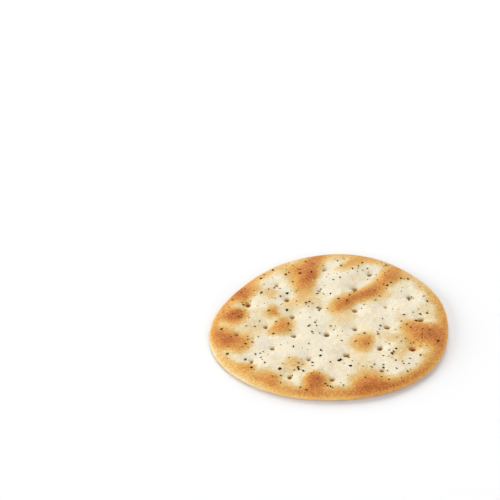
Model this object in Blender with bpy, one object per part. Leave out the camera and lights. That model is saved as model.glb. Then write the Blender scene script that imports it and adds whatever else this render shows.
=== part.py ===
# Round water cracker with cracked pepper, modelled in metres, +Z up.
# The underside rests on Z = 0 and the cracker is centred on the Z axis; +Y is its far side.

import math
import random

import bmesh
import bpy
from mathutils import Euler, Matrix, Vector

MM = 0.001

# Plan outline in millimetres: a mean radius and slow waves (count, height, crest in degrees)
MEAN_RADIUS = 35.25
OUTLINE_WAVES = (
    (1, 1.24, -52.3), (2, 1.13, 97.1), (3, 0.96, -115.4), (4, 0.14, 95.5),
    (5, 0.07, 138.5), (6, 0.11, 86.6), (7, 0.06, 124.5), (8, 0.05, -165.9),
)

# Thickness and edge in millimetres
CRUMB_THICKNESS = 2.35     # at a docking hole
RIM_THICKNESS = 1.00       # where the top starts to roll over into the edge
NOSE_HEIGHT = 0.25         # the outermost line of the edge, above the underside
RIM_SLOPE_WIDTH = 9.0      # the top falls from the crumb to the rim over this width
EDGE_WIDTH = 1.60          # the roll over the edge
UNDER_WIDTH = 0.45         # the turn under the edge
RIM_LIFT = 0.45            # the baked rim curls up this much off the table, on average
RIM_LIFT_SWING = 0.35      # and this much more or less on its two opposite sides
RIM_LIFT_CREST = -40.0     # degrees, the side that curls up most
REST_RADIUS_SHARE = 0.80   # the flat underside, as a share of the outline

# Mesh steps
TOP_SEGMENTS = 42
EDGE_TURNS = (60.0, 30.0, 0.0, -45.0, -90.0)   # degrees round the edge, 90 at the top
SOLE_STEPS = 2

# Docking holes in millimetres, ring by ring from the middle
DOCK_RINGS = (
    ((-0.8, -6.5), (7.6, -3.8), (7.8, 5.2), (-2.5, 6.5), (-10.8, 2.1), (-10.4, -7.1)),
    ((17.1, 7.0), (17.1, -3.0), (14.6, -13.0), (4.7, -16.2), (-6.3, -18.1),
     (-16.8, -13.0), (-18.7, -2.8), (-12.3, 10.5), (-2.5, 15.0), (8.2, 15.8)),
    ((24.3, 11.7), (27.1, 0.3), (24.0, -13.3), (14.7, -23.3), (0.2, -27.5), (-11.9, -26.3),
     (-22.9, -19.1), (-27.3, -6.9), (-23.9, 8.0), (-15.3, 17.8), (-0.8, 25.6), (12.9, 23.2)),
)
DOCK_MOUTH_RADIUS = 0.85
DOCK_TIP_RADIUS = 0.35
DOCK_DEPTH = 1.5
DOCK_SIDES = 10
DOCK_DISH_DEPTH = 0.30
DOCK_DISH_RADIUS = 1.6
PRICK_FOOT_RADIUS = 0.90
PRICK_TIP_RADIUS = 0.14
PRICK_DEPTH = 0.35
PRICK_SIDES = 6

# The crumb puffs up between the docking holes
PILLOW_RISE = 0.60
PILLOW_REACH = 5.5
BLISTER_RIM_SHARE = 0.35   # how much of a blister's rise is left where the top ends

# Blisters: x, y, half length, half width in millimetres, turn in degrees, rise in millimetres
BLISTERS = (
    (9.4, 11.4, 11.0, 3.1, 37.0, 1.00),       # long diagonal ridge
    (18.9, 20.9, 6.2, 3.4, 72.0, 0.90),       # its far end
    (-5.5, 22.2, 9.6, 3.7, 70.0, 0.85),       # back ridge
    (5.0, 21.2, 7.8, 5.8, 45.0, 0.75),        # smooth pillow between the two
    (-24.0, 14.0, 5.5, 3.0, 40.0, 0.50),
    (-27.8, 3.0, 3.3, 3.0, 0.0, 0.70),
    (-16.9, 4.3, 2.6, 2.0, 70.0, 0.35),
    (-14.1, -3.2, 4.2, 3.2, 55.0, 0.55),
    (-28.4, -9.3, 5.6, 3.8, -25.0, 0.70),     # left rim
    (-25.0, -21.9, 4.6, 2.4, -20.0, 0.45),
    (-18.1, -27.8, 3.6, 3.2, -30.0, 0.55),
    (-4.9, -28.3, 4.8, 3.9, 80.0, 0.75),      # near rim
    (12.4, -29.6, 8.0, 4.2, 8.0, 0.70),
    (28.0, -5.1, 7.5, 5.2, -60.0, 0.70),      # right rim
    (9.4, -10.3, 4.2, 3.1, 75.0, 0.45),
    (-10.6, -19.5, 3.6, 3.2, 0.0, 0.25),
    (20.0, -14.3, 3.4, 2.8, 0.0, 0.20),
)

# Cracked pepper: patches where it fell thicker (x, y, count, spread), then an even scatter
PEPPER_PATCHES = (
    (24.3, 10.5, 4, 1.3), (17.9, 16.3, 4, 1.3), (23.3, 20.3, 3, 1.0), (12.5, 11.3, 1, 0.1),
    (26.8, 4.9, 1, 0.1), (9.7, 26.5, 3, 1.3), (-12.4, 22.3, 2, 0.6), (-16.0, 15.9, 3, 1.4),
    (-5.6, 8.7, 4, 2.2), (-4.1, -1.7, 3, 1.6), (-24.7, -12.1, 4, 2.0), (-20.3, -16.3, 4, 1.8),
    (-9.3, -23.7, 4, 1.0), (15.3, -22.3, 3, 0.9), (21.1, -21.1, 5, 1.8), (17.2, -14.7, 4, 1.3),
    (-1.1, -30.9, 3, 0.7), (14.1, -6.3, 3, 1.0), (2.5, -19.7, 4, 2.0), (27.9, -9.1, 3, 2.0),
)
PEPPER_SEED = 41
PEPPER_EVEN_COUNT = 150
PEPPER_MIN_GAP = 1.7
PEPPER_PATCH_GAP = 0.9
PEPPER_PATCH_SHARE = 0.6       # standard deviation of a patch, as a share of its spread
PEPPER_LENGTHS = (0.60, 1.28)
PEPPER_LENGTH_POWER = 1.5      # above 1 most flakes are small
PEPPER_REACH_SHARE = 0.94

# The largest flakes are part of the solid
FUSED_COUNT = 52
FUSED_GAP = 2.2
FUSED_DOCK_GAP = 1.9
FLAKE_WIDTH_SHARES = (0.48, 0.72)
FLAKE_HEIGHT_SHARE = 0.75
FLAKE_MIN_HEIGHT = 0.42
FLAKE_UNEVENNESS = (0.82, 1.12)
FLAKE_TILT = 0.25              # radians either way
FLAKE_PROUD_SHARE = 0.12       # its middle stands this share of its height above the crumb


def ease(value):
    """Smooth step from 0 to 1."""
    value = min(1.0, max(0.0, value))
    return value * value * (3.0 - 2.0 * value)


def outline_radius(angle):
    """Plan radius of the cracker at an angle, in millimetres."""
    waves = sum(height * math.cos(count * angle - math.radians(crest))
                for count, height, crest in OUTLINE_WAVES)
    return MEAN_RADIUS + waves


def dock_spots():
    """Every docking hole, in millimetres."""
    return [spot for ring in DOCK_RINGS for spot in ring]


def dock_distance(x, y):
    """Distance from a point to the nearest docking hole."""
    return min(math.hypot(x - dx, y - dy) for dx, dy in dock_spots())


def blister_height(x, y):
    """Rise of the blisters at a point; where two meet they blend."""
    total = 0.0
    for bx, by, half_length, half_width, turn, rise in BLISTERS:
        cos_t = math.cos(math.radians(turn))
        sin_t = math.sin(math.radians(turn))
        along = ((x - bx) * cos_t + (y - by) * sin_t) / half_length
        across = ((y - by) * cos_t - (x - bx) * sin_t) / half_width
        inside = 1.0 - along * along - across * across
        if inside > 0.0:
            total += (rise * inside ** 1.5) ** 3
    return total ** (1.0 / 3.0)


def sole_height(x, y):
    """Underside: flat in the middle, curled up towards the rim, most on one side."""
    angle = math.atan2(y, x)
    share = math.hypot(x, y) / outline_radius(angle)
    lift = RIM_LIFT + RIM_LIFT_SWING * math.cos(angle - math.radians(RIM_LIFT_CREST))
    return lift * ease((share - REST_RADIUS_SHARE) / (1.0 - REST_RADIUS_SHARE))


def top_height(x, y):
    """Top surface: crumb, pillows between the docking holes, blisters and the rolled rim."""
    from_edge = outline_radius(math.atan2(y, x)) - math.hypot(x, y)
    rim = min(1.0, max(0.0, from_edge / RIM_SLOPE_WIDTH))
    rim *= 2.0 - rim
    roll = min(1.0, max(0.0, from_edge / EDGE_WIDTH))
    roll = math.sqrt(roll * (2.0 - roll))
    gap = dock_distance(x, y)
    thickness = NOSE_HEIGHT + (RIM_THICKNESS - NOSE_HEIGHT) * roll
    thickness += (CRUMB_THICKNESS - RIM_THICKNESS) * rim
    thickness += PILLOW_RISE * ease(gap / PILLOW_REACH) * rim
    thickness -= DOCK_DISH_DEPTH * math.exp(-(gap / DOCK_DISH_RADIUS) ** 2)
    blister = BLISTER_RIM_SHARE * roll + (1.0 - BLISTER_RIM_SHARE) * rim
    return sole_height(x, y) + thickness + blister_height(x, y) * blister


def square_to_disc(u, v):
    """Map a point of the square from -1 to 1 onto the unit disc with even cells."""
    if u == 0.0 and v == 0.0:
        return 0.0, 0.0
    if abs(u) > abs(v):
        radius, angle = u, math.pi / 4.0 * v / u
    else:
        radius, angle = v, math.pi / 2.0 - math.pi / 4.0 * u / v
    return radius * math.cos(angle), radius * math.sin(angle)


def lay_top(bm):
    """A square grid turned into the round top, inside the rounded edge."""
    bmesh.ops.create_grid(bm, x_segments=TOP_SEGMENTS, y_segments=TOP_SEGMENTS, size=1.0)
    for vert in bm.verts:
        u, v = square_to_disc(vert.co.x, vert.co.y)
        reach = outline_radius(math.atan2(v, u)) - EDGE_WIDTH
        x, y = u * reach, v * reach
        vert.co = Vector((x, y, top_height(x, y))) * MM


def edge_row(bm, edges, place):
    """Extrude an open border once, and put each new point where place says."""
    made = bmesh.ops.extrude_edge_only(bm, edges=edges)["geom"]
    for vert in (item for item in made if isinstance(item, bmesh.types.BMVert)):
        vert.co = Vector(place(math.atan2(vert.co.y, vert.co.x))) * MM
    return [item for item in made if isinstance(item, bmesh.types.BMEdge)]


def edge_ring(turn):
    """Ring of the edge at a turn from the top (90 degrees) to the underside (-90)."""
    def place(angle):
        width = EDGE_WIDTH if turn > 0.0 else UNDER_WIDTH
        reach = outline_radius(angle) - width * (1.0 - math.cos(turn))
        x, y = reach * math.cos(angle), reach * math.sin(angle)
        if turn > 0.0:
            return x, y, top_height(x, y)
        return x, y, sole_height(x, y) + NOSE_HEIGHT * (1.0 + math.sin(turn))

    return place


def sole_ring(share):
    """Ring of the underside at a share of the outline."""
    def place(angle):
        reach = outline_radius(angle) * share
        x, y = reach * math.cos(angle), reach * math.sin(angle)
        return x, y, sole_height(x, y)

    return place


def build_body():
    """Closed body of the cracker without its docking holes."""
    bm = bmesh.new()
    lay_top(bm)
    border = [edge for edge in bm.edges if edge.is_boundary]
    for turn in EDGE_TURNS:
        border = edge_row(bm, border, edge_ring(math.radians(turn)))
    edge_share = 1.0 - UNDER_WIDTH / MEAN_RADIUS
    for step in range(1, SOLE_STEPS + 1):
        share = edge_share + (REST_RADIUS_SHARE - edge_share) * step / SOLE_STEPS
        border = edge_row(bm, border, sole_ring(share))
    bmesh.ops.contextual_create(bm, geom=border)
    bmesh.ops.recalc_face_normals(bm, faces=bm.faces)
    return bm


def new_object(name, bm, collection):
    """Put a bmesh into a new object of a collection."""
    mesh = bpy.data.meshes.new(name)
    bm.to_mesh(mesh)
    bm.free()
    obj = bpy.data.objects.new(name, mesh)
    collection.objects.link(obj)
    return obj


def new_cone(name, low_radius, high_radius, low, high, sides, collection):
    """Upright cone between two points on one vertical line, in millimetres."""
    bm = bmesh.new()
    bmesh.ops.create_cone(bm, cap_ends=True, segments=sides, radius1=low_radius * MM,
                          radius2=high_radius * MM, depth=(high[2] - low[2]) * MM)
    middle = (Vector(low) + Vector(high)) / 2.0 * MM
    bmesh.ops.translate(bm, verts=bm.verts, vec=middle)
    return new_object(name, bm, collection)


def docking_cutters(collection):
    """A tapered pin from above and a shallow prick from below at every docking hole."""
    clearance = 1.0
    flare = (DOCK_MOUTH_RADIUS - DOCK_TIP_RADIUS) / DOCK_DEPTH
    for number, (x, y) in enumerate(dock_spots()):
        mouth = top_height(x, y)
        new_cone(f"dock_{number:02d}", DOCK_TIP_RADIUS, DOCK_MOUTH_RADIUS + flare * clearance,
                 (x, y, mouth - DOCK_DEPTH), (x, y, mouth + clearance), DOCK_SIDES, collection)
        sole = sole_height(x, y)
        new_cone(f"prick_{number:02d}", PRICK_FOOT_RADIUS, PRICK_TIP_RADIUS,
                 (x, y, sole - PRICK_DEPTH), (x, y, sole + PRICK_DEPTH), PRICK_SIDES, collection)


def clear_of(spots, x, y, gap):
    """Whether a point keeps a gap to every spot."""
    return all(math.hypot(x - spot[0], y - spot[1]) >= gap for spot in spots)


def pepper_spots():
    """Pepper flakes by a seeded rule, largest first: x, y, length, turn."""
    draw = random.Random(PEPPER_SEED)
    spots = []

    def add(x, y):
        shortest, longest = PEPPER_LENGTHS
        length = shortest + (longest - shortest) * draw.random() ** PEPPER_LENGTH_POWER
        spots.append((x, y, length, draw.uniform(0.0, math.pi)))

    for px, py, count, spread in PEPPER_PATCHES:
        add(px, py)
        patch_left = count - 1
        while patch_left:
            x = px + draw.gauss(0.0, spread * PEPPER_PATCH_SHARE)
            y = py + draw.gauss(0.0, spread * PEPPER_PATCH_SHARE)
            if clear_of(spots, x, y, PEPPER_PATCH_GAP):
                add(x, y)
                patch_left -= 1
    even_left = PEPPER_EVEN_COUNT
    while even_left:
        angle = draw.uniform(-math.pi, math.pi)
        reach = PEPPER_REACH_SHARE * outline_radius(angle) * math.sqrt(draw.random())
        x, y = reach * math.cos(angle), reach * math.sin(angle)
        if clear_of(spots, x, y, PEPPER_MIN_GAP):
            add(x, y)
            even_left -= 1
    return sorted(spots, key=lambda spot: -spot[2])


def fused_pepper(collection):
    """The largest flakes, each an uneven grain sunk a little into the top."""
    draw = random.Random(PEPPER_SEED + 1)
    chosen = []
    for x, y, length, turn in pepper_spots():
        if len(chosen) == FUSED_COUNT:
            break
        if not clear_of(chosen, x, y, FUSED_GAP) or not clear_of(dock_spots(), x, y, FUSED_DOCK_GAP):
            continue
        chosen.append((x, y))
        bm = bmesh.new()
        bmesh.ops.create_icosphere(bm, subdivisions=1, radius=0.5)
        for vert in bm.verts:
            vert.co *= draw.uniform(*FLAKE_UNEVENNESS)
        width = length * draw.uniform(*FLAKE_WIDTH_SHARES)
        height = max(FLAKE_MIN_HEIGHT, width * FLAKE_HEIGHT_SHARE)
        bmesh.ops.scale(bm, verts=bm.verts, vec=Vector((length, width, height)) * MM)
        tilt_x = draw.uniform(-FLAKE_TILT, FLAKE_TILT)
        tilt_y = draw.uniform(-FLAKE_TILT, FLAKE_TILT)
        tilt = Euler((tilt_x, tilt_y, turn)).to_matrix()
        bmesh.ops.rotate(bm, verts=bm.verts, cent=(0, 0, 0), matrix=tilt)
        sunk = Vector((x, y, top_height(x, y) + height * FLAKE_PROUD_SHARE)) * MM
        bmesh.ops.translate(bm, verts=bm.verts, vec=sunk)
        new_object(f"flake_{len(chosen):02d}", bm, collection)


def apply_boolean(obj, operation, fill):
    """Combine the object with everything that fill puts in one collection, then clear it."""
    collection = bpy.data.collections.new(operation.lower())
    bpy.context.scene.collection.children.link(collection)
    fill(collection)
    for helper in collection.objects:
        helper.hide_render = True
        helper.display_type = "WIRE"
    cut = obj.modifiers.new(operation.lower(), "BOOLEAN")
    cut.operation = operation
    cut.operand_type = "COLLECTION"
    cut.collection = collection
    cut.solver = "EXACT"
    depsgraph = bpy.context.evaluated_depsgraph_get()
    joined = bpy.data.meshes.new_from_object(obj.evaluated_get(depsgraph))
    obj.modifiers.clear()
    obj.data = joined
    for helper in list(collection.objects):
        bpy.data.objects.remove(helper, do_unlink=True)
    bpy.data.collections.remove(collection)


def settle_on_origin(obj):
    """Put the middle of the box's underside on the origin."""
    xs = [vert.co.x for vert in obj.data.vertices]
    ys = [vert.co.y for vert in obj.data.vertices]
    lowest = min(vert.co.z for vert in obj.data.vertices)
    shift = Vector(((min(xs) + max(xs)) / 2.0, (min(ys) + max(ys)) / 2.0, lowest))
    obj.data.transform(Matrix.Translation(-shift))


def tidy_mesh(obj):
    """Clear the slivers that fusing leaves and shade the crumb smooth."""
    bm = bmesh.new()
    bm.from_mesh(obj.data)
    bmesh.ops.remove_doubles(bm, verts=bm.verts, dist=0.002 * MM)
    bmesh.ops.dissolve_degenerate(bm, edges=bm.edges, dist=0.002 * MM)
    bm.to_mesh(obj.data)
    bm.free()
    obj.data.shade_smooth()
    obj.data.set_sharp_from_angle(angle=math.radians(45.0))


def baked_dough():
    """Dry pale crumb with a warm tint."""
    material = bpy.data.materials.new("baked_dough")
    material.use_nodes = True
    shader = material.node_tree.nodes["Principled BSDF"]
    shader.inputs["Base Color"].default_value = (0.80, 0.56, 0.30, 1.0)
    shader.inputs["Roughness"].default_value = 0.72
    shader.inputs["Metallic"].default_value = 0.0
    return material


def main():
    for old in list(bpy.data.objects):
        bpy.data.objects.remove(old, do_unlink=True)
    cracker = new_object("cracker", build_body(), bpy.context.scene.collection)
    apply_boolean(cracker, "DIFFERENCE", docking_cutters)
    apply_boolean(cracker, "UNION", fused_pepper)
    tidy_mesh(cracker)
    settle_on_origin(cracker)
    cracker.data.materials.clear()
    cracker.data.materials.append(baked_dough())


main()
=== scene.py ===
import math
import random

import bmesh
import bpy
import numpy as np
from mathutils import Euler, Matrix, Vector, noise


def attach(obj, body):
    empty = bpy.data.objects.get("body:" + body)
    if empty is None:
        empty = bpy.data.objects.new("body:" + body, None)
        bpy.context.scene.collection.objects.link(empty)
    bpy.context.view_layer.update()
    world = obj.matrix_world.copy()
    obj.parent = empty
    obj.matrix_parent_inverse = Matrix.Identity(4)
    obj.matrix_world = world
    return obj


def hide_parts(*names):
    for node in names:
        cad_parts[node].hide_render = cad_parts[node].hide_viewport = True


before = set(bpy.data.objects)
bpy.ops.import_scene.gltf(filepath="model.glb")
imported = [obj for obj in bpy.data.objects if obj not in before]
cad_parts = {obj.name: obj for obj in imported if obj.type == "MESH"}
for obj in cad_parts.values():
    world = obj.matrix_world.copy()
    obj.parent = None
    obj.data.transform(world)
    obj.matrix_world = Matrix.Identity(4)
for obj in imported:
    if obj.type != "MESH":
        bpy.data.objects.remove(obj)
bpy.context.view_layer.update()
mm = 0.001

# everything about the cracker's form, in millimetres and degrees
form = {
    "meanRadius": 35.25,
    "outlineWaves": (
        (1, 1.24, -52.3), (2, 1.13, 97.1), (3, 0.96, -115.4), (4, 0.14, 95.5),
        (5, 0.07, 138.5), (6, 0.11, 86.6), (7, 0.06, 124.5), (8, 0.05, -165.9),
    ),
    "crumbThickness": 2.35,       # at the docking holes, before their dishes
    "rimThickness": 1.00,
    "noseHeight": 0.25,           # the outermost point of the rounded edge
    "rimSlopeWidth": 9.0,
    "edgeWidth": 1.60,
    "underWidth": 0.45,
    "rimLift": 0.45,              # the rim curls up, most of all at the crest
    "liftSwing": 0.35,
    "liftCrest": -40.0,
    "restShare": 0.80,            # share of the radius that rests on the table
    "pillowRise": 0.60,           # crumb puffed up between the docking holes
    "pillowReach": 5.5,
    "dishDepth": 0.30,            # soft dish round each hole
    "dishRadius": 1.6,
    "blisterAtRim": 0.35,         # share of a blister that is left at the rim
    "domePower": 1.5,             # roundness of blisters and bubbles
}

# docking holes, ring by ring from the middle: x, y, depth
docks = (
    (-0.8, -6.5, 1.7), (7.6, -3.8, 1.3), (7.8, 5.2, 1.4), (-2.5, 6.5, 1.1),
    (-10.8, 2.1, 1.5), (-10.4, -7.1, 1.3),
    (17.1, 7.0, 0.7), (17.1, -3.0, 1.5), (14.6, -13.0, 1.6), (4.7, -16.2, 1.7),
    (-6.3, -18.1, 1.2), (-16.8, -13.0, 1.2), (-18.7, -2.8, 1.3), (-12.3, 10.5, 1.3),
    (-2.5, 15.0, 0.8), (8.2, 15.8, 1.2),
    (24.3, 11.7, 1.2), (27.1, 0.3, 1.8), (24.0, -13.3, 1.9), (14.7, -23.3, 1.2),
    (0.2, -27.5, 1.2), (-11.9, -26.3, 1.2), (-22.9, -19.1, 1.0), (-27.3, -6.9, 1.2),
    (-23.9, 8.0, 1.5), (-15.3, 17.8, 1.0), (-0.8, 25.6, 0.7), (12.9, 23.2, 1.2),
)

# blisters: x, y, half length, half width, turn, rise
blisters = (
    (9.4, 11.4, 11.0, 3.1, 37.0, 1.00),
    (18.9, 20.9, 6.2, 3.4, 72.0, 0.90),
    (-5.5, 22.2, 9.6, 3.7, 70.0, 0.85),
    (5.0, 21.2, 7.8, 5.8, 45.0, 0.75),
    (-24.0, 14.0, 5.5, 3.0, 40.0, 0.50),
    (-27.8, 3.0, 3.3, 3.0, 0.0, 0.70),
    (-16.9, 4.3, 2.6, 2.0, 70.0, 0.35),
    (-14.1, -3.2, 4.2, 3.2, 55.0, 0.55),
    (-28.4, -9.3, 5.6, 3.8, -25.0, 0.70),
    (-25.0, -21.9, 4.6, 2.4, -20.0, 0.45),
    (-18.1, -27.8, 3.6, 3.2, -30.0, 0.55),
    (-4.9, -28.3, 4.8, 3.9, 80.0, 0.75),
    (12.4, -29.6, 8.0, 4.2, 8.0, 0.70),
    (28.0, -5.1, 7.5, 5.2, -60.0, 0.70),
    (9.4, -10.3, 4.2, 3.1, 75.0, 0.45),
    (-10.6, -19.5, 3.6, 3.2, 0.0, 0.25),
    (20.0, -14.3, 3.4, 2.8, 0.0, 0.20),
)

# toasted spots: x, y, turn, reach ahead, behind, to the left and to the right, how brown,
# how soft on the left and on the right
toastSpots = (
    (9.8, 13.1, 31, 11.8, 3.5, 2.0, 2.8, 0.60, 0.66, 1.00),       # the long ridge and its far end
    (5.1, 7.3, 47, 5.1, 5.0, 3.4, 1.5, 0.79, 0.70, 0.99),
    (18.4, 22.1, 61, 5.6, 6.1, 2.2, 3.6, 0.66, 1.00, 0.37),
    (-6.3, 21.9, 75, 16.0, 7.7, 2.1, 2.9, 0.76, 0.76, 0.96),      # back ridge, golden on its left
    (-4.7, 21.2, 64, 3.2, 2.4, 1.5, 1.6, 0.70, 1.00, 0.63),
    (-8.1, 23.9, 53, 10.7, 3.9, 4.6, 1.9, 0.67, 0.93, 1.00),
    (-7.5, 11.9, 35, 4.1, 3.8, 0.9, 5.2, 0.27, 0.85, 0.71),
    (7.5, 28.4, 41, 5.1, 4.9, 1.2, 2.5, 0.52, 1.00, 1.00),
    (-27.6, 2.3, -20, 3.0, 3.8, 3.0, 4.3, 0.97, 0.76, 0.71),      # left side
    (-25.9, 14.6, 42, 3.7, 4.7, 5.7, 3.4, 0.98, 1.00, 1.00),
    (-22.5, 16.6, 29, 2.7, 1.3, 4.3, 2.9, 0.22, 0.56, 0.60),
    (-16.7, 13.3, -11, 1.6, 2.8, 2.2, 2.8, 0.30, 0.93, 0.90),
    (-16.5, 3.1, 88, 3.4, 1.5, 1.7, 1.5, 0.60, 1.00, 1.00),
    (-14.9, -3.0, 59, 4.5, 4.3, 1.5, 3.8, 0.66, 0.89, 0.59),
    (-30.1, -10.2, 33, 3.5, 2.9, 8.0, 2.6, 0.94, 1.00, 0.83),
    (-25.6, -11.4, -7, 2.6, 4.8, 3.0, 4.4, 0.62, 1.00, 0.58),
    (-23.6, -21.4, -6, 2.0, 3.8, 1.0, 3.2, 0.51, 1.00, 0.39),
    (-17.2, -29.4, -33, 1.4, 6.0, 4.0, 0.9, 0.61, 0.81, 1.00),    # near side
    (-10.9, -20.5, -17, 4.1, 2.6, 2.4, 3.9, 0.31, 0.62, 0.84),
    (-4.1, -29.0, 94, 3.3, 4.6, 3.7, 2.9, 0.92, 0.58, 0.88),
    (11.1, -31.3, 20, 5.8, 4.7, 5.2, 1.1, 0.91, 0.96, 0.31),
    (22.6, -27.4, 46, 12.0, 3.2, 1.1, 1.7, 0.51, 1.00, 0.45),
    (28.3, -6.8, 43, 11.4, 7.3, 2.2, 4.0, 0.66, 1.00, 1.00),      # right side
    (25.1, -4.0, -70, 5.9, 3.1, 3.4, 3.6, 0.77, 0.79, 0.81),
    (31.6, -9.0, 14, 3.9, 2.8, 4.5, 8.4, 0.75, 0.88, 1.00),
    (10.7, -11.8, 77, 3.9, 3.2, 3.7, 1.6, 0.72, 1.00, 1.00),
    (20.6, -8.9, -4, 1.3, 6.3, 2.0, 2.0, 0.21, 1.00, 1.00),       # faint ones
    (20.7, -16.5, -7, 1.5, 2.9, 2.5, 3.1, 0.19, 0.82, 0.94),
    (21.4, 0.8, -11, 2.0, 1.6, 1.6, 1.7, 0.11, 0.61, 0.73),
    (4.3, 3.5, -39, 3.8, 0.9, 2.5, 5.4, 0.24, 0.64, 1.00),
    (-23.5, -4.9, 20, 4.9, 3.8, 4.1, 4.1, 0.18, 1.00, 0.70),
    (-11.6, 8.7, -16, 3.0, 1.5, 1.8, 3.6, 0.21, 0.77, 1.00),
    (16.2, 12.5, 22, 2.9, 7.2, 1.7, 2.6, 0.29, 0.69, 1.00),
    (8.8, -22.5, 0, 3.4, 1.8, 6.7, 2.4, 0.13, 1.00, 0.71),
    (-18.2, 2.4, -20, 5.8, 4.5, 2.0, 2.0, 0.16, 0.90, 0.57),
    (-7.9, 17.1, 46, 3.8, 3.2, 4.1, 3.1, 0.30, 0.74, 1.00),
    (28.2, 18.0, -64, 5.7, 1.4, 0.8, 2.2, 0.32, 0.87, 0.90),
    (-24.8, 11.6, 2, 1.1, 2.0, 1.6, 4.5, 0.51, 0.90, 1.00),
    (12.2, 12.8, 39, 3.6, 5.6, 1.2, 1.8, 0.70, 0.94, 0.87),
    (29.4, 6.7, 66, 8.2, 6.9, 2.1, 5.1, 0.14, 0.81, 0.70),
)

# the spots' edges wander by two noises: size, seed and share
toastEdge = {"noises": ((3.4, 31.0, 0.45), (1.2, 35.0, 0.2)), "wander": 0.22}

# golden rim, at even steps from the right: width in millimetres and how brown;
# the outermost edge is painted paler, a painted highlight where light catches it, most of all at
# the near left
rimBand = {
    "step": 15.0,
    "fullShare": 0.25,            # share of the width that is fully browned
    "wobble": (0.35, 4.5, 41.0),  # share, size and seed of the noise in the width
    "edgeLightWidth": 1.1,
    "edgeLightPale": 0.30,
    "edgeLightSwing": 0.14,
    "edgeLightCrest": 215.0,
    "widths": (3.2, 4.6, 2.5, 5.8, 5.7, 5.4, 6.6, 1.0, 5.7, 4.3, 3.1, 5.1,
               3.8, 2.3, 4.4, 4.6, 5.1, 3.9, 5.0, 3.0, 3.5, 4.3, 5.2, 5.4),
    "browns": (0.56, 0.54, 0.29, 0.34, 0.39, 0.51, 0.24, 0.25, 0.34, 0.57, 0.02, 0.57,
               0.49, 0.18, 0.44, 0.32, 0.52, 0.66, 0.59, 0.88, 0.93, 0.45, 0.60, 0.22),
}


def ease(value):
    value = np.clip(value, 0.0, 1.0)
    return value * value * (3.0 - 2.0 * value)


def outlineRadius(angle):
    waves = sum(height * np.cos(count * angle - math.radians(crest))
                for count, height, crest in form["outlineWaves"])
    return form["meanRadius"] + waves


def dockGaps(x, y):
    # distance to every docking hole, one row for each
    return np.array([np.hypot(x - dx, y - dy) for dx, dy, _ in docks])


def blisterHeight(x, y):
    # cubes let neighbours run into each other without a crease
    total = np.zeros_like(x)
    for bx, by, halfLength, halfWidth, turn, rise in blisters:
        c, s = math.cos(math.radians(turn)), math.sin(math.radians(turn))
        along = ((x - bx) * c + (y - by) * s) / halfLength
        across = ((y - by) * c - (x - bx) * s) / halfWidth
        inside = np.clip(1.0 - along ** 2 - across ** 2, 0.0, 1.0)
        total += (rise * inside ** form["domePower"]) ** 3
    return np.cbrt(total)


def soleHeight(x, y):
    angle = np.arctan2(y, x)
    share = np.hypot(x, y) / outlineRadius(angle)
    lift = form["rimLift"] + form["liftSwing"] * np.cos(angle - math.radians(form["liftCrest"]))
    return lift * ease((share - form["restShare"]) / (1.0 - form["restShare"]))


def topHeight(x, y):
    fromEdge = outlineRadius(np.arctan2(y, x)) - np.hypot(x, y)
    rim = np.clip(fromEdge / form["rimSlopeWidth"], 0.0, 1.0)
    rim = rim * (2.0 - rim)
    roll = np.clip(fromEdge / form["edgeWidth"], 0.0, 1.0)
    roll = np.sqrt(roll * (2.0 - roll))
    gap = dockGaps(x, y).min(axis=0)
    thickness = form["noseHeight"] + (form["rimThickness"] - form["noseHeight"]) * roll
    thickness += (form["crumbThickness"] - form["rimThickness"]) * rim
    thickness += form["pillowRise"] * ease(gap / form["pillowReach"]) * rim
    thickness -= form["dishDepth"] * np.exp(-(gap / form["dishRadius"]) ** 2)
    blister = form["blisterAtRim"] * roll + (1.0 - form["blisterAtRim"]) * rim
    return soleHeight(x, y) + thickness + blisterHeight(x, y) * blister


def noiseAt(x, y, size, seed):
    # smooth noise from -1 to 1 with features of one size in millimetres
    return np.array([noise.noise(Vector((a / size, b / size, seed))) for a, b in zip(x, y)])


def boxMiddle():
    angles = np.linspace(-math.pi, math.pi, 3601)
    xs = outlineRadius(angles) * np.cos(angles)
    ys = outlineRadius(angles) * np.sin(angles)
    return (xs.min() + xs.max()) / 2.0, (ys.min() + ys.max()) / 2.0


shiftX, shiftY = boxMiddle()


# fine surface: soft lumps, small bubbles and docking funnels
crumb = {
    "lumps": ((5.2, 0.12, 3.1), (2.1, 0.05, 8.7), (0.9, 0.022, 14.2)),   # size, height, seed
    "grain": (0.60, 0.040, 21.5),
    "grainOnPale": 0.4,           # share of the grain where nothing is browned
    "bubbleCount": 80,
    "bubbleReach": 32.0,
    "bubbleSizes": (0.8, 1.9),
    "bubbleRise": 0.11,
    "bubbleSeed": 12,
    "funnelWidth": 0.57,
    "funnelStretch": (0.85, 1.30),
    "funnelGrowth": (0.75, 0.25),  # share of the width, and more for each millimetre of depth
    "funnelFade": 2.0,            # how fast lumps and bubbles fade down a funnel
    "funnelSeed": 17,
    "topFade": 0.2,               # how far the fine surface runs down the edge
    "edgeWobble": (0.08, 3.2, 71.0),   # height, size, seed
}

# the underside: browning and relief by noise, and a small prick under every docking hole
sole = {
    "brown": 0.42,
    "brownNoises": ((0.30, 7.0, 51.0), (0.22, 2.6, 55.0)),   # share, size, seed
    "prickWidth": 0.42,
    "prickDepth": 0.35,
    "prickShade": 0.8,
    "reliefHeight": 0.05,
    "reliefNoise": (2.2, 61.0),   # size, seed
    "reliefMiddle": 0.5,
    "reliefSteepness": 2.0,
    "edgePower": 4,               # relief and pricks only where the sole is flat
}


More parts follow.
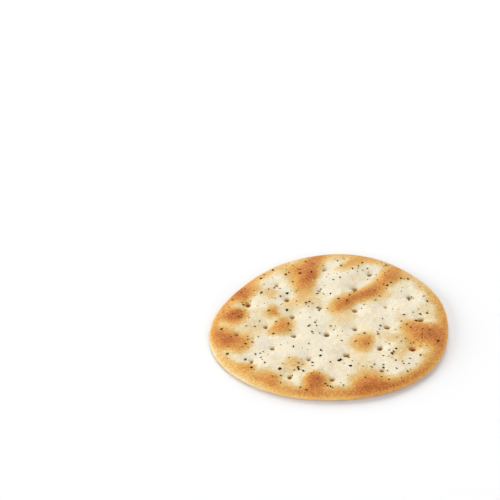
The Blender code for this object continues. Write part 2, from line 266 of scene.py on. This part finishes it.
def bubbleHeight(x, y):
    draw = random.Random(crumb["bubbleSeed"])
    rise = np.zeros_like(x)
    for _ in range(crumb["bubbleCount"]):
        angle = draw.uniform(-math.pi, math.pi)
        reach = crumb["bubbleReach"] * math.sqrt(draw.random())
        size = draw.uniform(*crumb["bubbleSizes"])
        gap = np.hypot(x - reach * math.cos(angle), y - reach * math.sin(angle)) / size
        dome = np.clip(1.0 - gap ** 2, 0.0, 1.0) ** form["domePower"]
        rise = np.maximum(rise, crumb["bubbleRise"] * size * dome)
    return rise


def funnelDepth(x, y):
    # an uneven funnel at every docking hole, wider where it is deeper
    draw = random.Random(crumb["funnelSeed"])
    leastWidth, widthGrowth = crumb["funnelGrowth"]
    drop = np.zeros_like(x)
    for dx, dy, depth in docks:
        turn, stretch = draw.uniform(0.0, math.pi), draw.uniform(*crumb["funnelStretch"])
        c, s = math.cos(turn), math.sin(turn)
        width = crumb["funnelWidth"] * (leastWidth + widthGrowth * depth)
        along = ((x - dx) * c + (y - dy) * s) / (width * stretch)
        across = ((y - dy) * c - (x - dx) * s) / width
        drop = np.maximum(drop, depth * np.exp(-along ** 2 - across ** 2))
    return drop


def toastAmount(x, y):
    clear = np.ones_like(x)
    wander = sum(noiseAt(x, y, size, seed) * share for size, seed, share in toastEdge["noises"])
    for tx, ty, turn, ahead, behind, left, right, brown, softLeft, softRight in toastSpots:
        c, s = math.cos(math.radians(turn)), math.sin(math.radians(turn))
        along = (x - tx) * c + (y - ty) * s
        across = (y - ty) * c - (x - tx) * s
        along = along / np.where(along > 0.0, ahead, behind)
        across = across / np.where(across > 0.0, left, right)
        reach = np.sqrt(along ** 2 + across ** 2)
        leftShare = 0.5 + 0.5 * across / np.maximum(reach, 0.001)   # 0.001 guards the middle
        soft = softRight + (softLeft - softRight) * leftShare
        reach += wander * toastEdge["wander"]
        clear *= 1.0 - brown * (1.0 - ease((reach - 1.0 + soft) / (2.0 * soft)))
    return 1.0 - clear


def rimAmount(x, y):
    angle = np.arctan2(y, x)
    fromEdge = outlineRadius(angle) - np.hypot(x, y)
    stations = np.arange(len(rimBand["widths"])) * rimBand["step"]
    widths = np.interp(np.degrees(angle), stations, rimBand["widths"], period=360.0)
    browns = np.interp(np.degrees(angle), stations, rimBand["browns"], period=360.0)
    share, size, seed = rimBand["wobble"]
    widths = widths * (1.0 + share * noiseAt(x, y, size, seed))
    return browns * (1.0 - ease((fromEdge - rimBand["fullShare"] * widths) / widths))


# painted highlight: the outermost edge made paler, most of all at the near left where light
# catches it
def paintedEdgeLight(angle, fromEdge):
    crest = math.radians(rimBand["edgeLightCrest"])
    pale = rimBand["edgeLightPale"] + rimBand["edgeLightSwing"] * np.cos(angle - crest)
    return pale * (1.0 - ease(fromEdge / rimBand["edgeLightWidth"]))


# mesh steps of the baked body
bodyMesh = {
    "topCells": 230,
    "topCuts": 1,
    "edgeRows": 12,
    "soleCells": 90,
    "soleCuts": 2,
    "soleJoin": 0.97,
    "dockPatch": 1.7,
}


def squareToDisc(u, v):
    if u == 0.0 and v == 0.0:
        return 0.0, 0.0
    if abs(u) > abs(v):
        radius, angle = u, math.pi / 4.0 * v / u
    else:
        radius, angle = v, math.pi / 2.0 - math.pi / 4.0 * u / v
    return radius * math.cos(angle), radius * math.sin(angle)


def addDisc(bm, cells, radius, level):
    made = bmesh.ops.create_grid(bm, x_segments=cells, y_segments=cells, size=1.0)["verts"]
    for vert in made:
        u, v = squareToDisc(vert.co.x, vert.co.y)
        vert.co = (u * radius, v * radius, level)
    return made


def borderEdges(bm, level):
    return [edge for edge in bm.edges if edge.is_boundary and edge.verts[0].co.z == level]


def refineDocks(bm, level, inset, cuts):
    # finer cells round every docking hole, while the grid is still flat
    near = []
    for edge in bm.edges:
        if edge.verts[0].co.z != level or edge.verts[1].co.z != level:
            continue
        middle = (edge.verts[0].co + edge.verts[1].co) / 2.0
        reach = outlineRadius(math.atan2(middle.y, middle.x)) - inset
        x, y = middle.x * reach, middle.y * reach
        if any(math.hypot(x - dx, y - dy) < bodyMesh["dockPatch"] for dx, dy, _ in docks):
            near.append(edge)
    bmesh.ops.subdivide_edges(bm, edges=near, cuts=cuts, use_grid_fill=True)


def flatTemplate():
    # a pill of radius 1: z runs from 1 on the top round the edge to -1 underneath
    bm = bmesh.new()
    addDisc(bm, bodyMesh["topCells"], 1.0, 1.0)
    refineDocks(bm, 1.0, form["edgeWidth"], bodyMesh["topCuts"])
    border = borderEdges(bm, 1.0)
    for row in range(1, bodyMesh["edgeRows"] + 1):
        made = bmesh.ops.extrude_edge_only(bm, edges=border)["geom"]
        level = 1.0 - 2.0 * row / bodyMesh["edgeRows"]
        for vert in (item for item in made if isinstance(item, bmesh.types.BMVert)):
            vert.co.z = level
        border = [item for item in made if isinstance(item, bmesh.types.BMEdge)]
    addDisc(bm, bodyMesh["soleCells"], bodyMesh["soleJoin"], -1.0)
    refineDocks(bm, -1.0, form["underWidth"], bodyMesh["soleCuts"])
    bmesh.ops.triangle_fill(bm, use_beauty=True, edges=borderEdges(bm, -1.0))
    bmesh.ops.recalc_face_normals(bm, faces=bm.faces)
    return bm


def soleBrowning(x, y):
    noises = (share * noiseAt(x, y, size, seed) for share, size, seed in sole["brownNoises"])
    return np.clip(sum(noises, sole["brown"]), 0.0, 1.0)


def soleRelief(x, y, prick):
    size, seed = sole["reliefNoise"]
    waves = sole["reliefMiddle"] + sole["reliefSteepness"] * noiseAt(x, y, size, seed)
    return sole["prickDepth"] * prick + sole["reliefHeight"] * ease(waves)


def topRelief(x, y, brown, drop):
    # lumps, grain and bubbles, fading into the docking funnels
    lumps = sum(height * noiseAt(x, y, size, seed) for size, height, seed in crumb["lumps"])
    size, height, seed = crumb["grain"]
    lumps += height * (crumb["grainOnPale"] + brown) * noiseAt(x, y, size, seed)
    return (lumps + bubbleHeight(x, y)) * np.exp(-drop * crumb["funnelFade"]) - drop


def shapeBody(mesh):
    # turn the pill into the cracker and note how brown each point is, painted edge highlight
    # included, and how deep
    count = len(mesh.vertices)
    flat = np.empty(count * 3, dtype=np.float32)
    mesh.vertices.foreach_get("co", flat)
    u, v, level = flat.reshape(count, 3).astype(float).T
    angle = np.arctan2(v, u)
    turn = level * math.pi / 2.0
    width = np.where(level > 0.0, form["edgeWidth"], form["underWidth"])
    share = np.hypot(u, v)
    reach = share * (outlineRadius(angle) - width * (1.0 - np.cos(turn)))
    x, y = reach * np.cos(angle), reach * np.sin(angle)
    edge = soleHeight(x, y) + form["noseHeight"] * (1.0 + np.sin(np.minimum(turn, 0.0)))
    z = np.where(level > 0.0, topHeight(x, y), edge)

    brown = 1.0 - (1.0 - toastAmount(x, y)) * (1.0 - rimAmount(x, y))
    # painted highlight: less brown at the outermost edge, where light catches it
    brown *= 1.0 - paintedEdgeLight(angle, outlineRadius(angle) - np.hypot(x, y))
    drop = funnelDepth(x, y)
    onTop = ease((level + crumb["topFade"]) / (1.0 + crumb["topFade"]))
    z += onTop * topRelief(x, y, brown, drop)

    under = np.clip(-level, 0.0, 1.0)
    onSole = under ** sole["edgePower"]
    prick = np.exp(-(dockGaps(x, y).min(axis=0) / sole["prickWidth"]) ** 2)
    z += onSole * soleRelief(x, y, prick)
    brown = brown * (1.0 - under) + soleBrowning(x, y) * under
    # how deep the docking funnels and the underside pricks are; the material paints browning and
    # shade there
    hollow = drop * onTop + sole["prickShade"] * prick * onSole

    height, size, seed = crumb["edgeWobble"]
    wobble = (1.0 - np.abs(level)) * height * noiseAt(x, y, size, seed)
    x += wobble * np.cos(angle)
    y += wobble * np.sin(angle)
    placed = np.stack([x - shiftX, y - shiftY, z], axis=1) * mm
    mesh.vertices.foreach_set("co", placed.astype(np.float32).ravel())
    # the browning attribute holds the painted edge highlight too; hollow holds the depth of
    # funnels and pricks
    for name, values in (("bakeAndEdgeLight", brown), ("hollow", hollow)):
        layer = mesh.attributes.new(name, "FLOAT", "POINT")
        layer.data.foreach_set("value", values.astype(np.float32))
    mesh.update()


def newPiece(name, bm, material, smooth):
    mesh = bpy.data.meshes.new(name)
    bm.to_mesh(mesh)
    bm.free()
    piece = bpy.data.objects.new(name, mesh)
    bpy.context.scene.collection.objects.link(piece)
    mesh.materials.append(material)
    if smooth:
        mesh.shade_smooth()
    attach(piece, "root")
    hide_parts("cracker")
    return piece


# node helpers for the procedural materials
def addNode(tree, kind, inputs=None, **settings):
    node = tree.nodes.new(kind)
    for key, value in settings.items():
        setattr(node, key, value)
    for key, value in (inputs or {}).items():
        if isinstance(value, bpy.types.NodeSocket):
            tree.links.new(value, node.inputs[key])
        else:
            node.inputs[key].default_value = value
    return node


def addMath(tree, operation, first, second, third=None, clamp=False):
    inputs = {0: first, 1: second}
    if third is not None:
        inputs[2] = third
    return addNode(tree, "ShaderNodeMath", inputs, operation=operation, use_clamp=clamp).outputs[0]


def addMix(tree, blend, factor, first, second):
    inputs = {0: factor, 6: first, 7: second}
    return addNode(tree, "ShaderNodeMix", inputs, data_type="RGBA", blend_type=blend).outputs[2]


def linear(red, green, blue, dim=1.0):
    # screen colour from 0 to 255 to a shader colour, by the sRGB curve
    parts = []
    for value in (red, green, blue):
        share = value / 255.0
        glow = share / 12.92 if share <= 0.04045 else ((share + 0.055) / 1.055) ** 2.4
        parts.append(glow * dim)
    return (*parts, 1.0)


def addRamp(tree, factor, stops):
    ramp = addNode(tree, "ShaderNodeValToRGB", {0: factor})
    ramp.color_ramp.interpolation = "LINEAR"
    while len(ramp.color_ramp.elements) < len(stops):
        ramp.color_ramp.elements.new(0.5)
    for element, (place, colour) in zip(ramp.color_ramp.elements, stops):
        element.position = place
        element.color = colour
    return ramp.outputs[0]


# cream crumb to brown crust; a noise is scale, detail and roughness
doughLook = {
    "dim": 0.94,
    "stops": (
        (0.00, (247, 237, 212)),
        (0.12, (242, 222, 179)),
        (0.25, (236, 203, 144)),
        (0.36, (232, 189, 118)),
        (0.50, (231, 175, 96)),
        (0.65, (222, 156, 84)),
        (0.80, (212, 138, 72)),
        (0.92, (201, 121, 60)),
        (1.00, (191, 110, 56)),
    ),
    "patches": (150.0, 3.0, 0.55),        # about 6 mm
    "mottle": (620.0, 4.0, 0.55),         # about 1.5 mm
    "grain": (2300.0, 3.0, 0.7),          # about 0.4 mm
    "flecks": (2000.0, 1.5, 0.55),        # about 0.5 mm
    "patchPush": (0.22, -0.11),           # how far a noise pushes the browning, and its shift
    "mottlePush": (0.26, -0.12),
    "grainPush": (0.48, 0.16),            # more where browner, and the least
    "fleckPush": (1.60, 0.50),
    "fleckMiddle": 0.52,
    "fleckFloor": -0.09,                  # flecks lighten more than they darken
    "hollowSpan": (0.12, 1.00),
    "hollowBrownAndShade": 0.38,
    "hollowShadeTint": (0.70, 0.60, 0.50),     # painted shade inside the docking holes
    "roughness": (0.78, 0.60),            # pale crumb, toasted crust
    "grainRelief": 0.6,
    "bumpHeight": 0.00036,
    "bumpStrength": 0.8,
    "specular": 0.06,
    "subsurface": 0.04,
    "subsurfaceRadius": (1.0, 0.55, 0.28),
    "subsurfaceScale": 0.0008,
}


def doughMaterial():
    material = bpy.data.materials.new("bakedDough")
    material.use_nodes = True
    tree = material.node_tree
    shader = tree.nodes["Principled BSDF"]
    place = addNode(tree, "ShaderNodeTexCoord").outputs["Object"]
    # browning from the mesh, with the painted edge highlight in it
    bakeAndEdgeLight = addNode(tree, "ShaderNodeAttribute", attribute_name="bakeAndEdgeLight").outputs["Fac"]
    hollow = addNode(tree, "ShaderNodeAttribute", attribute_name="hollow").outputs["Fac"]

    def noiseNode(name):
        scale, detail, roughness = doughLook[name]
        settings = {"Vector": place, "Scale": scale, "Detail": detail, "Roughness": roughness}
        return addNode(tree, "ShaderNodeTexNoise", settings).outputs["Fac"]

    patches = noiseNode("patches")
    mottle = noiseNode("mottle")
    grain = noiseNode("grain")
    flecks = noiseNode("flecks")

    # ragged edges on the toasting, with more grain where it is browner
    share, shift = doughLook["patchPush"]
    level = addMath(tree, "MULTIPLY_ADD", patches, share, addMath(tree, "ADD", bakeAndEdgeLight, shift))
    share, shift = doughLook["mottlePush"]
    level = addMath(tree, "MULTIPLY_ADD", mottle, share, addMath(tree, "ADD", level, shift))
    grainShare = addMath(tree, "MULTIPLY_ADD", bakeAndEdgeLight, *doughLook["grainPush"])
    grainPush = addMath(tree, "MULTIPLY", addMath(tree, "ADD", grain, -0.5), grainShare)
    shallow, deep = doughLook["hollowSpan"]
    span = {0: hollow, 1: shallow, 2: deep, 3: 0.0, 4: 1.0}
    inside = addNode(tree, "ShaderNodeMapRange", span).outputs[0]
    # docking holes pushed browner with depth: partly toasting, partly painted shade
    level = addMath(tree, "MULTIPLY_ADD", inside, doughLook["hollowBrownAndShade"], level)
    level = addMath(tree, "ADD", level, grainPush, clamp=True)
    stops = [(spot, linear(*colour, dim=doughLook["dim"])) for spot, colour in doughLook["stops"]]
    colour = addRamp(tree, level, stops)
    fleckShare = addMath(tree, "MULTIPLY_ADD", bakeAndEdgeLight, *doughLook["fleckPush"])
    fleckLift = addMath(tree, "ADD", flecks, -doughLook["fleckMiddle"])
    fleckLift = addMath(tree, "MAXIMUM", fleckLift, doughLook["fleckFloor"])
    speckle = addMath(tree, "ADD", addMath(tree, "MULTIPLY", fleckLift, fleckShare), 1.0)
    colour = addMix(tree, "MULTIPLY", 1.0, colour, speckle)

    # golden, then darker inside the docking holes: browning and painted shade, deeper where the
    # hole is deeper
    colour = addMix(tree, "MULTIPLY", inside, colour, (*doughLook["hollowShadeTint"], 1.0))
    tree.links.new(colour, shader.inputs["Base Color"])

    pale, toasted = doughLook["roughness"]
    span = {0: level, 1: 0.0, 2: 1.0, 3: pale, 4: toasted}
    rough = addNode(tree, "ShaderNodeMapRange", span).outputs[0]
    tree.links.new(rough, shader.inputs["Roughness"])
    relief = addMath(tree, "MULTIPLY_ADD", grain, doughLook["grainRelief"], mottle)
    bump = addNode(tree, "ShaderNodeBump", {
        "Height": relief,
        "Distance": doughLook["bumpHeight"],
        "Strength": doughLook["bumpStrength"],
    })
    tree.links.new(bump.outputs[0], shader.inputs["Normal"])
    shader.inputs["Specular IOR Level"].default_value = doughLook["specular"]
    shader.inputs["Subsurface Weight"].default_value = doughLook["subsurface"]
    shader.inputs["Subsurface Radius"].default_value = doughLook["subsurfaceRadius"]
    shader.inputs["Subsurface Scale"].default_value = doughLook["subsurfaceScale"]
    return material


# cracked pepper: patches where it fell thicker (x, y, count, spread), then an even scatter
pepper = {
    "patches": (
        (24.3, 10.5, 4, 1.3), (17.9, 16.3, 4, 1.3), (23.3, 20.3, 3, 1.0), (12.5, 11.3, 1, 0.1),
        (26.8, 4.9, 1, 0.1), (9.7, 26.5, 3, 1.3), (-12.4, 22.3, 2, 0.6), (-16.0, 15.9, 3, 1.4),
        (-5.6, 8.7, 4, 2.2), (-4.1, -1.7, 3, 1.6), (-24.7, -12.1, 4, 2.0), (-20.3, -16.3, 4, 1.8),
        (-9.3, -23.7, 4, 1.0), (15.3, -22.3, 3, 0.9), (21.1, -21.1, 5, 1.8), (17.2, -14.7, 4, 1.3),
        (-1.1, -30.9, 3, 0.7), (14.1, -6.3, 3, 1.0), (2.5, -19.7, 4, 2.0), (27.9, -9.1, 3, 2.0),
    ),
    "seed": 41,
    "patchShare": 0.6,            # how closely a patch keeps to its middle
    "evenCount": 150,
    "minGap": 1.7,
    "patchGap": 0.9,
    "lengths": (0.60, 1.28),
    "lengthPower": 1.5,
    "reachShare": 0.94,
    "widthShares": (0.42, 0.74),
    "heightShare": 0.7,
    "leastHeight": 0.22,
    "tonePower": 2.0,             # most flakes are dark, a few brown
}


def isClear(spots, x, y, gap):
    return all(math.hypot(x - spot[0], y - spot[1]) >= gap for spot in spots)


def pepperSpots():
    draw = random.Random(pepper["seed"])
    low, high = pepper["lengths"]
    spots = []

    def add(x, y):
        length = low + (high - low) * draw.random() ** pepper["lengthPower"]
        spots.append((x, y, length, draw.uniform(0.0, math.pi)))

    for px, py, count, spread in pepper["patches"]:
        add(px, py)
        patchLeft = count - 1
        while patchLeft:
            x = px + draw.gauss(0.0, spread * pepper["patchShare"])
            y = py + draw.gauss(0.0, spread * pepper["patchShare"])
            if isClear(spots, x, y, pepper["patchGap"]):
                add(x, y)
                patchLeft -= 1
    evenLeft = pepper["evenCount"]
    while evenLeft:
        angle = draw.uniform(-math.pi, math.pi)
        reach = pepper["reachShare"] * outlineRadius(angle) * math.sqrt(draw.random())
        x, y = reach * math.cos(angle), reach * math.sin(angle)
        if isClear(spots, x, y, pepper["minGap"]):
            add(x, y)
            evenLeft -= 1
    return sorted(spots, key=lambda spot: -spot[2])


def surfaceAt(x, y):
    px, py = np.array([x]), np.array([y])
    return float(topHeight(px, py)[0] - funnelDepth(px, py)[0])


# lean in radians, middle above the surface as a share of the height, corners pushed in and out
flake = {"lean": 0.25, "stand": 0.15, "corners": (0.62, 1.22)}


def addFlake(bm, tone, draw, x, y, length, width, height, turn, shade):
    # an angular chip sunk a little into the top
    most = flake["lean"]
    lean = Euler((draw.uniform(-most, most), draw.uniform(-most, most), turn)).to_matrix().to_4x4()
    level = surfaceAt(x, y) + height * flake["stand"]
    spot = Vector((x - shiftX, y - shiftY, level)) * mm
    stretch = Matrix.Diagonal(Vector((length, width, height, 1.0 / mm)) * mm)
    made = bmesh.ops.create_icosphere(bm, subdivisions=1, radius=0.5)["verts"]
    for vert in made:
        vert.co *= draw.uniform(*flake["corners"])
        vert[tone] = shade
    bmesh.ops.transform(bm, matrix=Matrix.Translation(spot) @ lean @ stretch, verts=made)


pepperLook = {
    "veinScale": 5200.0,
    "veinDetail": 3.0,
    "veinShare": 0.5,
    "bumpHeight": 0.00004,
    "bumpStrength": 0.7,
    "roughness": 0.62,
    "specular": 0.0,
}


def pepperMaterial(name, darkColour, lightColour):
    material = bpy.data.materials.new(name)
    material.use_nodes = True
    tree = material.node_tree
    shader = tree.nodes["Principled BSDF"]
    place = addNode(tree, "ShaderNodeTexCoord").outputs["Object"]
    tone = addNode(tree, "ShaderNodeAttribute", attribute_name="tone").outputs["Fac"]
    veins = addNode(tree, "ShaderNodeTexNoise", {
        "Vector": place,
        "Scale": pepperLook["veinScale"],
        "Detail": pepperLook["veinDetail"],
    }).outputs["Fac"]
    share = pepperLook["veinShare"]
    shifted = addMath(tree, "ADD", tone, -share / 2.0)
    mixed = addMath(tree, "MULTIPLY_ADD", veins, share, shifted, clamp=True)
    colour = addRamp(tree, mixed, ((0.0, linear(*darkColour)), (1.0, linear(*lightColour))))
    tree.links.new(colour, shader.inputs["Base Color"])
    bump = addNode(tree, "ShaderNodeBump", {
        "Height": veins,
        "Distance": pepperLook["bumpHeight"],
        "Strength": pepperLook["bumpStrength"],
    })
    tree.links.new(bump.outputs[0], shader.inputs["Normal"])
    shader.inputs["Roughness"].default_value = pepperLook["roughness"]
    shader.inputs["Specular IOR Level"].default_value = pepperLook["specular"]
    return material


# the last two kinds are extra: pale husk chips and fine dust between the flakes
pepperKinds = {
    "blackPepper": {
        "dark": (40, 22, 2), "light": (122, 76, 14),
    },
    "pepperHusk": {
        "dark": (132, 98, 58), "light": (190, 158, 108),
        "count": 40, "lengths": (0.35, 0.70), "seed": 5,
    },
    "pepperDust": {
        "dark": (44, 24, 2), "light": (100, 62, 12),
        "count": 115, "lengths": (0.42, 0.62), "seed": 6,
    },
}
loosePepper = {"reachShare": 0.95, "widthShares": (0.4, 0.8), "heightShare": 0.6}


def makeBlackPepper():
    bm = bmesh.new()
    tone = bm.verts.layers.float.new("tone")
    draw = random.Random(pepper["seed"] + 1)
    for x, y, length, turn in pepperSpots():
        width = length * draw.uniform(*pepper["widthShares"])
        height = max(pepper["leastHeight"], width * pepper["heightShare"])
        shade = draw.random() ** pepper["tonePower"]
        addFlake(bm, tone, draw, x, y, length, width, height, turn, shade)
    kind = pepperKinds["blackPepper"]
    material = pepperMaterial("blackPepper", kind["dark"], kind["light"])
    newPiece("blackPepper", bm, material, False)
    print("black pepper laid")


def makeLooseKind(name):
    kind = pepperKinds[name]
    draw = random.Random(kind["seed"])
    bm = bmesh.new()
    tone = bm.verts.layers.float.new("tone")
    for _ in range(kind["count"]):
        angle = draw.uniform(-math.pi, math.pi)
        reach = loosePepper["reachShare"] * outlineRadius(angle) * math.sqrt(draw.random())
        length = draw.uniform(*kind["lengths"])
        width = length * draw.uniform(*loosePepper["widthShares"])
        height = width * loosePepper["heightShare"]
        turn, shade = draw.uniform(0.0, math.pi), draw.random()
        x, y = reach * math.cos(angle), reach * math.sin(angle)
        addFlake(bm, tone, draw, x, y, length, width, height, turn, shade)
    newPiece(name, bm, pepperMaterial(name, kind["dark"], kind["light"]), False)
    print(name, "laid")


def makeCracker():
    piece = newPiece("crackerBody", flatTemplate(), doughMaterial(), True)
    shapeBody(piece.data)
    print("cracker body shaped,", len(piece.data.vertices), "points")


# pale table and soft studio light, in metres: a broad lamp at the far side and low ones all round
studio = {
    "floorSize": 6.0,
    "floorDrop": 0.00001,       # a hair below the sole, so the two never share a plane
    "floorRoughness": 0.9,
    "floorSpecular": 0.1,
    "floorColour": (0.955, 0.955, 0.96),
    "skyStrength": 0.165,
    "lampDistance": 2.0,
    "lamps": (                  # name, degrees from +X, height in degrees, size, power
        ("farKey", 98.0, 38.0, 1.60, 27.0),
        ("farLow", 60.0, 16.0, 1.20, 9.0),
        ("leftLow", 168.0, 16.0, 1.20, 19.0),
        ("nearLeftLow", 210.0, 16.0, 1.20, 20.0),
        ("nearRightLow", 302.0, 16.0, 1.20, 17.0),
        ("rightFill", 330.0, 38.0, 1.60, 8.5),
    ),
}


def makeFloor():
    bm = bmesh.new()
    halfSize = studio["floorSize"] / 2.0
    level = Matrix.Translation((0.0, 0.0, -studio["floorDrop"]))
    bmesh.ops.create_grid(bm, x_segments=1, y_segments=1, size=halfSize, matrix=level)
    mesh = bpy.data.meshes.new("tableTop")
    bm.to_mesh(mesh)
    bm.free()
    floor = bpy.data.objects.new("tableTop", mesh)
    bpy.context.scene.collection.objects.link(floor)
    material = bpy.data.materials.new("whiteTable")
    material.use_nodes = True
    shader = material.node_tree.nodes["Principled BSDF"]
    shader.inputs["Base Color"].default_value = (*studio["floorColour"], 1.0)
    shader.inputs["Roughness"].default_value = studio["floorRoughness"]
    shader.inputs["Specular IOR Level"].default_value = studio["floorSpecular"]
    mesh.materials.append(material)


def makeLights():
    world = bpy.data.worlds.new("paleStudio")
    world.use_nodes = True
    backdrop = world.node_tree.nodes["Background"]
    backdrop.inputs["Color"].default_value = (1.0, 1.0, 1.0, 1.0)
    backdrop.inputs["Strength"].default_value = studio["skyStrength"]
    bpy.context.scene.world = world
    for name, azimuth, height, size, power in studio["lamps"]:
        side, up = math.radians(azimuth), math.radians(height)
        away = Vector((math.cos(side) * math.cos(up), math.sin(side) * math.cos(up), math.sin(up)))
        light = bpy.data.lights.new(name, "AREA")
        light.shape = "DISK"
        light.size = size
        light.energy = power
        lamp = bpy.data.objects.new(name, light)
        lamp.location = away * studio["lampDistance"]
        lamp.rotation_euler = away.to_track_quat("Z", "Y").to_euler()
        bpy.context.scene.collection.objects.link(lamp)


# the photograph's view: place in millimetres from the cracker's middle
viewpoint = {"place": (-23.32, -588.11, 451.53), "pitch": 35.757, "lens": 180.0, "sensor": 36.0}


def makeCamera():
    data = bpy.data.cameras.new("photoCamera")
    data.lens = viewpoint["lens"]
    data.sensor_width = viewpoint["sensor"]
    camera = bpy.data.objects.new("photoCamera", data)
    camera.location = Vector(viewpoint["place"]) * mm
    camera.rotation_euler = (math.radians(90.0 - viewpoint["pitch"]), 0.0, 0.0)
    bpy.context.scene.collection.objects.link(camera)
    bpy.context.scene.camera = camera


bpy.context.scene.view_settings.view_transform = "Standard"
makeCamera()
makeFloor()
makeLights()
print("studio ready")
makeCracker()
makeBlackPepper()
makeLooseKind("pepperHusk")
makeLooseKind("pepperDust")
